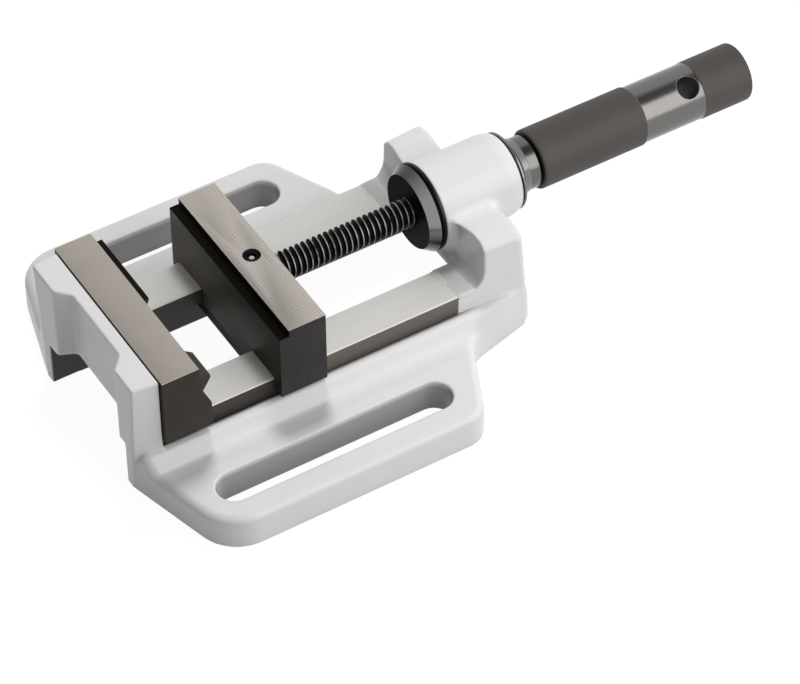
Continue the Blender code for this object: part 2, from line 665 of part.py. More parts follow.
def nut_sleeve(look, parent):
    """Turning sleeve: collar and internal thread in front, spigot for the handle behind."""
    front = at(COLLAR_X)
    neck_end = at(NECK_END_X)
    spigot_end = on_handle(SPIGOT_SHARE)
    bore = THREAD_RADIUS + RUNNING
    outer = [(front, bore + 0.001), (front, COLLAR_FACE_RADIUS), (front + COLLAR_BEVEL, COLLAR_RADIUS),
             (front + COLLAR_THICK, COLLAR_RADIUS), (front + COLLAR_THICK, SLEEVE_RADIUS),
             (neck_end, SLEEVE_RADIUS), (neck_end, SPIGOT_RADIUS), (spigot_end, SPIGOT_RADIUS)]
    inner = [(spigot_end, SLEEVE_RELIEF), (front + NUT_LENGTH + 0.001, SLEEVE_RELIEF),
             (front + NUT_LENGTH, bore), (front + 0.001, bore)]
    piece = place("nut_sleeve", turned(outer + inner, tube=True), look, (0, 0, SPINDLE_Z), parent)
    combine(piece, [grub_hole("sleeve_grub_hole", parent)], "DIFFERENCE")
    return piece


def grub_hole(name, parent):
    """Radial hole from under the handle into the sleeve's spigot."""
    outside = GRIP_RADIUS + OVER
    hole = rod(GRUB_SCREW / 2 + GAP, 0, outside - GRUB_SEAT_RADIUS)
    hole = turn_to(hole, (0, 0, 1), (on_handle(GRUB_SHARE), 0, -outside))
    return place(name, hole, None, (0, 0, SPINDLE_Z), parent)


def grub_screw(look, parent):
    start = GRIP_RADIUS - GRUB_SUNK
    length = start - GRUB_SEAT_RADIUS - GAP
    origin = (on_handle(GRUB_SHARE), 0, -start)
    return set_screw("handle_grub_screw", look, GRUB_SCREW, length, origin, (0, 0, 1), parent,
                     (0, 0, SPINDLE_Z))


def thrust_washer(look, parent):
    start = at(WASHER_X)
    hole = SLEEVE_RADIUS + GAP
    end = start + WASHER_THICK
    profile = [(start, hole), (start, COLLAR_RADIUS), (end, COLLAR_RADIUS), (end, hole)]
    return place("thrust_washer", turned(profile, tube=True), look, (0, 0, SPINDLE_Z), parent)


def rear_ring(look, parent):
    """Retaining ring behind the housing, rounded down to the neck."""
    start = at(RING_X)
    hole = SLEEVE_RADIUS + GAP
    profile = [(start, hole), (start, RING_RADIUS), (start + RING_LAND, RING_RADIUS)]
    reach = RING_LENGTH - RING_LAND
    drop = RING_RADIUS - hole - 0.0004
    for step in range(1, 5):
        t = step / 4
        profile.append((start + RING_LAND + reach * t, RING_RADIUS - drop * t ** 1.35))
    return place("rear_ring", turned(profile, tube=True), look, (0, 0, SPINDLE_Z), parent)


def handle(look, parent):
    """Turned handle: front grip, polished band with the cross hole, and end grip; bored from the front."""
    front = at(NECK_END_X) + GAP
    spigot_hole = SPIGOT_RADIUS + GAP
    spigot_end = on_handle(SPIGOT_SHARE) + GAP
    band_end = on_handle(BAND_END_SHARE)
    end = at(HANDLE_END_X)
    profile = [(on_handle(HANDLE_BORE_SHARE), HANDLE_BORE), (spigot_end, HANDLE_BORE),
               (spigot_end, spigot_hole), (front, spigot_hole), (front, GRIP_RADIUS - HANDLE_EDGE),
               (front + HANDLE_EDGE, GRIP_RADIUS), (on_handle(GRIP_SHARE), GRIP_RADIUS),
               (on_handle(BAND_START_SHARE), BAND_RADIUS), (band_end, BAND_RADIUS),
               (band_end + BAND_STEP, END_GRIP_RADIUS), (end - HANDLE_END_EDGE, END_GRIP_RADIUS),
               (end, END_GRIP_RADIUS - HANDLE_END_EDGE)]
    piece = place("handle", turned(profile), look, (0, 0, SPINDLE_Z), parent)
    across = Vector((0, -math.sin(CROSS_HOLE_TILT), math.cos(CROSS_HOLE_TILT)))
    length = 2 * (GRIP_RADIUS + OVER)
    start = Vector((on_handle(CROSS_HOLE_SHARE), 0, 0)) - across * length / 2
    hole = place("cross_hole", turn_to(rod(CROSS_HOLE / 2, 0, length, 32), across, start), None,
                 (0, 0, SPINDLE_Z), parent)
    combine(piece, [hole, grub_hole("handle_grub_hole", parent)], "DIFFERENCE")
    return piece


def clear_scene():
    for found in list(bpy.data.objects):
        bpy.data.objects.remove(found, do_unlink=True)


def main():
    clear_scene()
    paint = material("body_paint", (0.78, 0.78, 0.77), 0.32, 0.0)
    ground = material("jaw_steel", (0.30, 0.28, 0.26), 0.42, 0.85)
    dark = material("moving_jaw_steel", (0.22, 0.21, 0.20), 0.42, 0.85)
    black = material("black_steel", (0.03, 0.03, 0.03), 0.35, 0.6)
    screw = material("fastener_steel", (0.08, 0.08, 0.08), 0.4, 0.8)
    grip = material("handle_steel", (0.11, 0.10, 0.10), 0.5, 0.6)
    bright = material("neck_steel", (0.25, 0.24, 0.23), 0.25, 0.9)

    body(paint)
    fixed_jaw_plate(ground, screw)

    slide = bpy.data.objects.new("jaw_slide", None)
    bpy.context.collection.objects.link(slide)
    moving_jaw(dark, slide)
    keeper(ground, screw, slide)
    spindle(black, slide)
    lock_screw(bright, slide)

    turning = bpy.data.objects.new("handle_turn", None)
    bpy.context.collection.objects.link(turning)
    nut_sleeve(black, turning)
    thrust_washer(black, turning)
    rear_ring(bright, turning)
    handle(grip, turning)
    grub_screw(screw, turning)


main()
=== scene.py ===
"""Drill press vise: the painted casting, ground steel jaws, blackened screw and turned handle.

Drawing stations are in millimetres: x is counted from the front of the casting, y across the jaws
from the screw's axis and z up from the table.  to_frame() sets them into the metre frame.
"""

import math

import bmesh
import bpy
import numpy as np
from mathutils import Matrix, Vector


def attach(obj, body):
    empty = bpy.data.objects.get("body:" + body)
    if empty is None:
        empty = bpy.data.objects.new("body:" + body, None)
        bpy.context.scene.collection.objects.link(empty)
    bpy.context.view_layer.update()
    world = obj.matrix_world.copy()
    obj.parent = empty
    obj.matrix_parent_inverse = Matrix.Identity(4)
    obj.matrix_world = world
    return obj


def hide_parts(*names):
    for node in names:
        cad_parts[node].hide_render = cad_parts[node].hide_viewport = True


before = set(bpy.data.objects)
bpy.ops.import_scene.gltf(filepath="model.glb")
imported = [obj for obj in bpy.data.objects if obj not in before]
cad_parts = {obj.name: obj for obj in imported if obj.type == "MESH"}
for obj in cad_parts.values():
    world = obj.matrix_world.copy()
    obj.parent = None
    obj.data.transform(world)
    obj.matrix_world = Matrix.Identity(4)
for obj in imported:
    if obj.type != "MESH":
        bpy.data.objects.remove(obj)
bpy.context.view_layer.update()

# Stations of the drawing, in millimetres
ORIGIN_X = 177.4
SCREW_Z = 51.6
RAIL_TOP, RAIL_INNER, RAIL_OUTER = 33.5, 22.9, 43.8
RAIL_END = 171.0
CHANNEL_HALF, CHANNEL_TOP = 35.2, 24.0
GAP_END, GAP_TOP = 178.7, 51.0
UNDER_START, UNDER_TOP = 170, 31.0
BEAD_SIDE, BEAD_Z, BEAD_RADIUS = 47.3, 20.8, 3.5
VALLEY_SIDE, VALLEY_Z = 56.0, 16.8
LUG_SIDE, LUG_TOP = 99.5, 17.7
SLOT_MIDDLE, SLOT_HALF, SLOT_SIDE, SLOT_RADIUS = 84.45, 51.75, 78.0, 8.7
WALL_FRONT, WALL_BACK, WALL_FOOT, WALL_TOP = 0.8, 13.9, 6.0, 66.9
WALL_HALF_BACK, WALL_HALF_LOW, WALL_HALF_HIGH = 48.0, 41.5, 46.5
HOUSING_FRONT, HOUSING_REAR, HOUSING_RADIUS = 179.0, 221.7, 20.6
BORE_START, BORE_RADIUS = 150, 13.4
PLATE_TOP = 67.4
JAW_FACE, JAW_BACK, JAW_TOP = 73.3, 97.1, 66.7
LOCK_X = JAW_BACK - 9.1
THREAD_RADIUS, THREAD_PITCH, THREAD_CHAMFER = 7.0, 3.0, 1.2
THREAD_START, THREAD_END = JAW_BACK + 0.3, JAW_BACK + 142.5
COLLAR_FRONT, BEVEL_END, COLLAR_FACE_RADIUS, COLLAR_RADIUS = 170.5, 175.8, 18.4, 21.7
NECK_END, NECK_RADIUS = 235.1, 13.1
TAIL_END, TAIL_RADIUS = 267.3, 10.7
HANDLE_FRONT, BAND_START, BAND_END, HANDLE_END = 236.6, 293.2, 326.9, 354.0
GRIP_RADIUS, BAND_DEPTH, END_GRIP_RISE = 14.8, 0.6, 0.3
HANDLE_BORE_END, HANDLE_BORE_WIDE, HANDLE_BORE_NARROW = 312.0, 11.0, 8.6
GRUB_X, GRUB_RADIUS = 252.0, 2.8
CROSS_X, CROSS_RADIUS, CROSS_TILT = 320.4, 5.5, math.radians(33.5)
EASED_WIDTH = 0.35

# Slanted lines on the moving jaw's top: radians for a millimetre, and how far they wander
LINE_RATE, LINE_WANDER = 4.4, 5.0

# Recesses below the jaws' tops, painted black as their shade: lowest and highest z, first and last x, and
# least y
PLATE_LEDGE = (60.8, 66.9, 32.9, 38.4, 4.0)
JAW_LEDGE = (62.8, 66.3, 73.0, 78.3, -60.0)

# Camera: its angles in degrees, the station it looks at, its distance in metres and its lens
CAMERA_AZIMUTH, CAMERA_ELEVATION, CAMERA_ROLL = -30.961, 45.804, -0.641
CAMERA_AIM = (134.63, -51.249, 30.0)
CAMERA_DISTANCE = 1.78349
FOCAL_PIXELS, PICTURE_WIDTH, SENSOR_WIDTH = 3935.68, 800, 36

# Light, where white is 1: what the surroundings cast on the object from the front and from the handle's
# end, what mirrors show of their ceiling, between which heights it dims, and what the floor shows
AMBIENT_FRONT, AMBIENT_REAR = 0.085, 0.459
CEILING, CEILING_START, CEILING_FULL = 0.15, 0.82, 0.88
FLOOR_GLOW = 0.95
FLOOR_HALF = 3000


def to_frame(points):
    """Drawing millimetres to frame metres: shift x by the origin's station and divide by a thousand."""
    return (np.asarray(points, float) - (ORIGIN_X, 0.0, 0.0)) / 1000.0


# Meshes

def make_piece(name, points, faces, normals, look):
    """Object at the origin from drawing points and faces, with given vertex normals if there are any."""
    mesh = bpy.data.meshes.new(name)
    mesh.from_pydata(to_frame(points).tolist(), [], faces)
    mesh.update()
    mesh.shade_smooth()
    if normals is not None:
        mesh.normals_split_custom_set_from_vertices(normals.tolist())
    mesh.materials.append(look)
    piece = bpy.data.objects.new(name, mesh)
    bpy.context.scene.collection.objects.link(piece)
    return piece


def grid_faces(rows, columns, shift=0):
    """Quads of a grid of rows by columns whose last column is joined to its first, shift rows on."""
    row, column = np.meshgrid(np.arange(rows - 1), np.arange(columns), indexing="ij")
    after = (column + 1) % columns
    jump = np.where(after < column, shift, 0)
    quads = np.stack([row * columns + column, (row + jump) * columns + after,
                      (row + 1 + jump) * columns + after, (row + 1) * columns + column], -1)
    keep = row + 1 + jump < rows
    return quads[keep & (row + jump >= 0)]


def filleted(corners, steps=5):
    """Profile through (x, r, fillet) corners: each fillet is an arc tangent to both sides.
    Gives the points and their outward normals; a corner without a fillet is doubled, one normal a side."""
    points, normals = [], []
    spots = [np.array(c[:2], float) for c in corners]
    for index, here in enumerate(spots):
        sides = []
        for other in (index - 1, index + 1):
            if 0 <= other < len(spots):
                way = spots[other] - here
                sides.append(way / np.linalg.norm(way))
            else:
                sides.append(None)
        before, after = sides
        if before is None or after is None:
            way = after if before is None else -before
            points.append(here)
            normals.append((-way[1], way[0]))
            continue
        first, last = np.array((before[1], -before[0])), np.array((-after[1], after[0]))
        radius = corners[index][2]
        if radius == 0:
            points += [here, here]
            normals += [first, last]
            continue
        half = math.acos(np.clip(before @ after, -1, 1)) / 2
        turn = first[0] * last[1] - first[1] * last[0]
        centre = here + (before + after) / np.linalg.norm(before + after) * radius / math.sin(half)
        way = 1.0 if (here - centre) @ (first + last) > 0 else -1.0
        angle = math.atan2(turn, first @ last)
        start = math.atan2(first[1], first[0])
        for step in range(steps + 1):
            a = start + angle * step / steps
            normal = np.array((math.cos(a), math.sin(a)))
            points.append(centre + way * radius * normal)
            normals.append(normal)
    return np.array(points), np.array(normals)


def turned(name, corners, look, segments=128, closed=False, upright=None):
    """Solid of revolution: the filleted profile swept through a full circle about the screw's axis, or
    about a vertical axis at the station upright, with the profile's stations counted upward.  A closed
    profile joins its last corner to its first; an open one gets a flat cap at both ends."""
    profile, slope = filleted(corners)
    angle = np.linspace(0, 2 * np.pi, segments, endpoint=False)
    x = np.broadcast_to(profile[:, :1], (len(profile), segments))
    radius = profile[:, 1:]
    points = np.stack([x, radius * np.cos(angle), radius * np.sin(angle)], -1)
    normals = np.stack([np.broadcast_to(slope[:, :1], x.shape), slope[:, 1:] * np.cos(angle),
                        slope[:, 1:] * np.sin(angle)], -1)
    if upright is None:
        points = points + (0, 0, SCREW_Z)
    else:
        points = np.roll(points, -1, axis=-1) + (upright, 0, 0)
        normals = np.roll(normals, -1, axis=-1)
    faces = grid_faces(len(profile), segments).tolist()
    last = (len(profile) - 1) * segments
    if closed:
        faces += [[last + m, last + (m + 1) % segments, (m + 1) % segments, m] for m in range(segments)]
    else:
        faces += [list(range(segments))[::-1], list(range(last, last + segments))]
    return make_piece(name, points.reshape(-1, 3), faces, normals.reshape(-1, 3), look)


# Distance fields: below zero inside the material, above zero outside

def overlap(a, b, radius):
    """Common part of two solids; their shared edge is rounded to a radius."""
    rounded = np.hypot(np.maximum(a + radius, 0), np.maximum(b + radius, 0))
    return np.minimum(-radius, np.maximum(a, b)) + rounded


def join(a, b, radius):
    """Sum of two solids, with a fillet of a radius in the corner between them."""
    return -overlap(-a, -b, radius)


def cut(a, b, radius):
    """The first solid without the second; the rim is rounded to a radius."""
    return overlap(a, -b, radius)


def outline_distance(outline, u, v):
    """Distance to the nearest point of any side of a closed outline, below zero inside."""
    nearest = np.full(np.broadcast_shapes(np.shape(u), np.shape(v)), np.inf)
    inside = np.zeros(nearest.shape, bool)
    for (u0, v0), (u1, v1) in zip(outline, np.roll(outline, -1, axis=0)):
        du, dv = u1 - u0, v1 - v0
        share = np.clip(((u - u0) * du + (v - v0) * dv) / (du * du + dv * dv), 0, 1)
        nearest = np.minimum(nearest, (u - u0 - share * du) ** 2 + (v - v0 - share * dv) ** 2)
        crosses = (v0 <= v) != (v1 <= v)
        if dv != 0:
            inside ^= crosses & (u < u0 + (v - v0) * du / dv)
    return np.where(inside, -1.0, 1.0) * np.sqrt(nearest)


def rounded_outline(corners, steps=8):
    """Closed outline from (u, v, radius) corners, each turned into an arc tangent to its two sides."""
    outline = []
    for index, (u, v, radius) in enumerate(corners):
        here = np.array((u, v), float)
        before = np.array(corners[index - 1][:2]) - here
        after = np.array(corners[(index + 1) % len(corners)][:2]) - here
        before, after = before / np.linalg.norm(before), after / np.linalg.norm(after)
        if radius == 0:
            outline.append(here)
            continue
        half = math.acos(before @ after) / 2
        centre = here + (before + after) / np.linalg.norm(before + after) * radius / math.sin(half)
        first = here + before * radius / math.tan(half) - centre
        last = here + after * radius / math.tan(half) - centre
        start = math.atan2(first[1], first[0])
        sweep = (math.atan2(last[1], last[0]) - start + math.pi) % (2 * math.pi) - math.pi
        for step in range(steps + 1):
            a = start + sweep * step / steps
            outline.append(centre + radius * np.array((math.cos(a), math.sin(a))))
    return np.array(outline)


def edge_ends(values, axis):
    """Values at the lower and at the upper end of every grid edge along an axis."""
    low, high = [slice(None)] * 3, [slice(None)] * 3
    low[axis], high[axis] = slice(None, -1), slice(1, None)
    return values[tuple(low)], values[tuple(high)]


def cell_points(values, axes):
    """One point in each cell that the surface crosses, at the mean of the crossings on its edges, and the
    grid of the cells' numbers, -1 where the surface doesn't pass."""
    inside = values < 0
    cells = tuple(n - 1 for n in values.shape)
    total = np.zeros(cells + (3,))
    count = np.zeros(cells)
    for axis in range(3):
        a, b = edge_ends(values, axis)
        change = np.not_equal(*edge_ends(inside, axis))
        share = np.where(change, a / np.where(change, a - b, 1.0), 0.0)
        spot = np.zeros(change.shape + (3,))
        for i in range(3):
            shape = [1, 1, 1]
            shape[i] = -1
            base = axes[i][:-1] if i == axis else axes[i]
            spot[..., i] = base.reshape(shape)
            if i == axis:
                spot[..., i] += share * np.diff(axes[i]).reshape(shape)
        spot *= change[..., None]
        first, second = [i for i in range(3) if i != axis]
        for p in (0, 1):
            for q in (0, 1):
                window = [slice(None)] * 3
                window[first] = slice(p, p + cells[first])
                window[second] = slice(q, q + cells[second])
                total += spot[tuple(window)]
                count += change[tuple(window)]
    used = count > 0
    number = np.full(cells, -1)
    number[used] = np.arange(used.sum())
    return total[used] / count[used][:, None], number


def cell_quads(inside, number):
    """For every grid edge with one end inside, the quad of the four cells around it, wound outward."""
    cells = number.shape
    quads = []
    for axis in range(3):
        filled, beyond = edge_ends(inside, axis)
        u, v = [(1, 2), (2, 0), (0, 1)][axis]
        spots = np.argwhere(filled != beyond)
        within = (spots[:, u] > 0) & (spots[:, v] > 0) & (spots[:, u] < cells[u]) & (spots[:, v] < cells[v])
        spots = spots[within]
        ring = []
        for p, q in ((1, 1), (0, 1), (0, 0), (1, 0)):
            cell = spots.copy()
            cell[:, u] -= p
            cell[:, v] -= q
            ring.append(number[tuple(cell.T)])
        ring = np.stack(ring, -1)
        outward = filled[tuple(spots.T)]
        quads.append(np.where(outward[:, None], ring, ring[:, ::-1]))
    return np.concatenate(quads)


def settle(field, points):
    """The points moved onto the field's zero along its slope, in three steps, and the outward normals."""
    def value(at):
        return field(at[:, 0], at[:, 1], at[:, 2])

    def slope(at, reach):
        return np.stack([value(at + step) - value(at - step) for step in np.eye(3) * reach], -1) / (2 * reach)

    for _ in range(3):
        rise = slope(points, 0.01)
        move = value(points)[:, None] * rise / np.maximum((rise ** 2).sum(-1, keepdims=True), 0.25)
        points = points - np.clip(move, -0.4, 0.4)
    normals = slope(points, 0.03)
    normals /= np.maximum(np.linalg.norm(normals, axis=-1, keepdims=True), 1e-9)
    return points, normals


def skin(field, xs, ys, zs):
    """Surface where a field is zero, on a grid of stations: one point in each crossed cell, quads that join
    the cells, and the points moved onto the zero.  Gives points, quads and normals."""
    values = field(xs[:, None, None], ys[None, :, None], zs[None, None, :])
    points, number = cell_points(values, (xs, ys, zs))
    quads = cell_quads(values < 0, number)
    points, normals = settle(field, points)
    return points, quads.tolist(), normals


def spread(*stops):
    """Grid stations from (start, step) stops; the last stop closes the row."""
    parts = []
    for (start, step), (end, _) in zip(stops, stops[1:]):
        count = max(1, round((end - start) / step))
        parts.append(start + (end - start) * np.arange(count) / count)
    return np.concatenate(parts + [[stops[-1][0]]])


# The casting

def bead_section():
    """Outline across one half of the casting: rail, groove, bead, valley and lug, open below the table."""
    angle = np.radians(np.linspace(178, 35, 9))
    bead = np.stack([BEAD_SIDE + BEAD_RADIUS * np.cos(angle), BEAD_Z + BEAD_RADIUS * np.sin(angle)], -1)
    share = np.linspace(0, 1, 9)[1:]
    fall_from, fall_to = bead[-1], (VALLEY_SIDE, VALLEY_Z)
    ease = 3 * share ** 2 - 2 * share ** 3
    leave = share ** 3 - 2 * share ** 2 + share
    run = fall_to[0] - fall_from[0]
    fall = np.stack([fall_from[0] + run * share,
                     fall_from[1] + (fall_to[1] - fall_from[1]) * ease - 1.4 * run * leave], -1)
    rise = np.stack([VALLEY_SIDE + 9.0 * share, VALLEY_Z + (LUG_TOP - VALLEY_Z) * ease], -1)
    rail = [(-80, -60), (-80, RAIL_TOP), (RAIL_OUTER - 0.4, RAIL_TOP), (RAIL_OUTER, RAIL_TOP - 0.4)]
    return np.concatenate([rail, bead, fall, rise, [(150, LUG_TOP), (150, -60)]])


PLAN = rounded_outline([(-27.46, -60, 0), (17.2, LUG_SIDE, 22), (150.6, LUG_SIDE, 13), (170.79, 55.93, 16),
                        (207.4, 46.4, 5), (207.4, -60, 0)], 24)
SECTION = bead_section()
RECESS = rounded_outline([(-6, -33.0, 0), (WALL_FRONT, -30.4, 5), (7.1, -23.6, 4), (7.1, 19.6, 4),
                          (WALL_FRONT, 26.4, 5), (-6, 29.0, 0)])
ARCH_EASE = np.linspace(0, 1, 9)
ARCH_SIDE = np.stack([17.0 + 18.2 * ARCH_EASE, 29.5 - 7.3 * (3 * ARCH_EASE ** 2 - 2 * ARCH_EASE ** 3)], -1)
ARCH = np.concatenate([[(-60, -40), (-60, 29.5)], ARCH_SIDE, [(CHANNEL_HALF, -40)]])
BRIDGE_ACROSS = rounded_outline([(-80, -10, 0), (-80, 55.0, 0), (20, 55.4, 6), (27, 57.6, 8), (35, 59.2, 9),
                                 (40.6, 58.2, 4), (44.3, 54.0, 4), (44.6, 45, 20), (44.5, -10, 0)])
BRIDGE_ALONG = np.array([(169.5, 3), (RAIL_END, 33.9), (179.7, 34.0), (181.2, 35.6), (182.4, 37.4),
                         (183.3, 39.4), (183.8, 41.6), (184.0, 44), (184.0, 90), (260, 90), (260, 3)])


def lug_plate(x, side, z):
    """Plan outline in common with the cross-section, their shared edge rounded."""
    return overlap(outline_distance(PLAN, x, side), outline_distance(SECTION, side, z), 4.0)


def front_wall(x, side, z):
    """Block up to the wall's top; its half width at the front grows with height, up to less than at the
    back, and runs straight from one to the other."""
    height = (z - WALL_FOOT) / (WALL_TOP - WALL_FOOT)
    corner = WALL_HALF_LOW + (WALL_HALF_HIGH - WALL_HALF_LOW) * height
    lean = (WALL_HALF_BACK - corner) / (WALL_BACK - WALL_FRONT)
    end = (side - corner - (x - WALL_FRONT) * lean) / np.sqrt(1 + lean ** 2)
    return overlap(overlap(end, x - WALL_BACK, 0.8), z - WALL_TOP, 1.0)


def bridge(x, y, side, z):
    """Common part of a stepped outline along the casting, which comes 1.6 forward in the middle, an outline
    across it, wider to the rear, 1 higher at one side and 1 lower at the other, and a slanted rear face."""
    inward = 1 - np.clip((side - 22.0) / 22.0, 0, 1)
    front = outline_distance(BRIDGE_ALONG, x + 1.6 * inward, z)
    across = outline_distance(BRIDGE_ACROSS, side - 0.07 * (x - 182.4), z + np.clip(y / 30, -1, 1))
    rear = ((x - 204.3) * 31.0 + (z - 55.0) * 2.3) / 31.085
    return overlap(overlap(front, across, 0.7), rear, 3.0)


def housing(x, reach):
    """Cylinder around the screw's axis, its radius 1.5 less at the rear rim."""
    wane = 1.5 * np.clip((x - 214.5) / 7.2, 0, 1) ** 2
    return overlap(overlap(reach - HOUSING_RADIUS + wane, HOUSING_FRONT - x, 0.8), x - HOUSING_REAR, 0.8)


def hollow(x, side, z):
    """Sum of the channel under the rails, the gap between them and the space under the bridge."""
    channel = np.maximum(side - CHANNEL_HALF, z - CHANNEL_TOP)
    gap = np.maximum(np.maximum(side - RAIL_INNER, WALL_BACK - x), x - GAP_END)
    gap = np.maximum(gap, z - GAP_TOP)
    under = np.maximum(np.maximum(side - RAIL_INNER, UNDER_START - x), z - UNDER_TOP)
    return np.minimum(np.minimum(channel, gap), under)


def casting(x, y, z):
    """Lug plate joined to the front wall, the bridge and the housing by cast fillets, then cut by the recess,
    the hollow below, the arch, the slots and the bore, and clipped at its front and at the table."""
    side = np.abs(y)
    reach = np.hypot(y, z - SCREW_Z)
    solid = join(lug_plate(x, side, z), front_wall(x, side, z), 1.2)
    solid = cut(solid, np.maximum(np.maximum(WALL_BACK - x, RAIL_TOP - z), x - RAIL_END), 0.2)
    solid = join(solid, bridge(x, y, side, z), np.where(x < 190, 1.0, 2.0))
    solid = join(solid, housing(x, reach), 4.5)

    arch = np.maximum(outline_distance(ARCH, side, z), x - WALL_BACK - 0.1)
    slot = np.hypot(np.maximum(np.abs(x - SLOT_MIDDLE) - SLOT_HALF, 0), side - SLOT_SIDE) - SLOT_RADIUS
    solid = cut(solid, outline_distance(RECESS, x, y), 1.0)
    solid = cut(solid, hollow(x, side, z), 0.35)
    solid = cut(solid, arch, 1.0)
    solid = cut(solid, slot, np.where(z > 9, 1.0, 0.8))
    solid = cut(solid, np.maximum(reach - BORE_RADIUS, BORE_START - x), 0.6)
    solid = overlap(solid, WALL_FRONT - x, 1.0)
    return overlap(solid, -z, 0.7)


# Materials

class Signal:
    """A socket that Python arithmetic works on: each operation adds its Math node."""

    def __init__(self, look, socket):
        self.look, self.socket = look, socket

    def _math(self, operation, *others):
        """Result of a Math node with this signal first."""
        found = self.look.node("ShaderNodeMath", {"operation": operation},
                               dict(enumerate((self, *others))))
        return Signal(self.look, found.outputs[0])

    def __add__(self, other): return self._math("ADD", other)
    def __sub__(self, other): return self._math("SUBTRACT", other)
    def __mul__(self, other): return self._math("MULTIPLY", other)
    def __pow__(self, other): return self._math("POWER", other)
    def __neg__(self): return self._math("MULTIPLY", -1.0)
    def __rsub__(self, other): return (-self) + other
    __radd__, __rmul__ = __add__, __mul__

    def absolute(self): return self._math("ABSOLUTE")
    def sine(self): return self._math("SINE")
    def most(self, other): return self._math("MAXIMUM", other)

    def between(self, low, high):
        """0 below low, 1 above high and a smooth step from one to the other."""
        found = self.look.node("ShaderNodeMapRange", {"interpolation_type": "SMOOTHSTEP"},
                               {"Value": self, "From Min": low, "From Max": high})
        return Signal(self.look, found.outputs[0])


def add_node(tree, kind, settings={}, inputs={}):
    """One shader node of a kind: its settings first, then values or links for its sockets."""
    found = tree.nodes.new(kind)
    for key, value in settings.items():
        setattr(found, key, value)
    for key, value in inputs.items():
        if isinstance(value, Signal):
            value = value.socket
        if isinstance(value, bpy.types.NodeSocket):
            tree.links.new(value, found.inputs[key])
        else:
            found.inputs[key].default_value = value
    return found


class Look:
    """A material under construction around one Principled shader, with its fixed values by name; x, y and z
    are the drawing stations of the shaded spot, in millimetres."""

    def __init__(self, name, **values):
        self.material = bpy.data.materials.new(name)
        self.material.use_nodes = True
        self.tree = self.material.node_tree
        self.shader = self.tree.nodes["Principled BSDF"]
        for key, value in values.items():
            self.shader.inputs[key.replace("_", " ").title().replace("Ior", "IOR")].default_value = value
        coordinates = self.node("ShaderNodeTexCoord")
        self.here = coordinates.outputs["Object"]
        parts = self.node("ShaderNodeSeparateXYZ", {}, {0: self.here})
        self.x = Signal(self, parts.outputs[0]) * 1000.0 + ORIGIN_X
        self.y = Signal(self, parts.outputs[1]) * 1000.0
        self.z = Signal(self, parts.outputs[2]) * 1000.0

    def node(self, kind, settings={}, inputs={}):
        """One node in this material."""
        return add_node(self.tree, kind, settings, inputs)

    def noise(self, size, stretch=(1, 1, 1), detail=3.0, roughness=0.5):
        """Cloudy pattern from 0 to 1 with spots of a size in millimetres, drawn out along the axes."""
        scale = [1000.0 / (size * s) for s in stretch]
        spread_out = self.node("ShaderNodeVectorMath", {"operation": "MULTIPLY"}, {0: self.here, 1: scale})
        found = self.node("ShaderNodeTexNoise", {}, {"Vector": spread_out.outputs[0], "Scale": 1.0,
                                                     "Detail": detail, "Roughness": roughness})
        return Signal(self, found.outputs[0])

    def blend(self, share, first, second):
        """Colour between two colours or colour sockets."""
        fit = [value if isinstance(value, Signal) else (*value, 1.0) for value in (first, second)]
        found = self.node("ShaderNodeMix", {"data_type": "RGBA"}, {0: share, 6: fit[0], 7: fit[1]})
        return Signal(self, found.outputs[2])

    def feed(self, **signals):
        """Signals linked to the shader's sockets, by name."""
        for key, value in signals.items():
            self.tree.links.new(value.socket, self.shader.inputs[key.replace("_", " ").title()])

    def bump(self, height, distance):
        """Relief: height in parts of a distance in millimetres."""
        found = self.node("ShaderNodeBump", {}, {"Height": height, "Distance": distance / 1000.0,
                                                 "Strength": 1.0})
        self.tree.links.new(found.outputs[0], self.shader.inputs["Normal"])


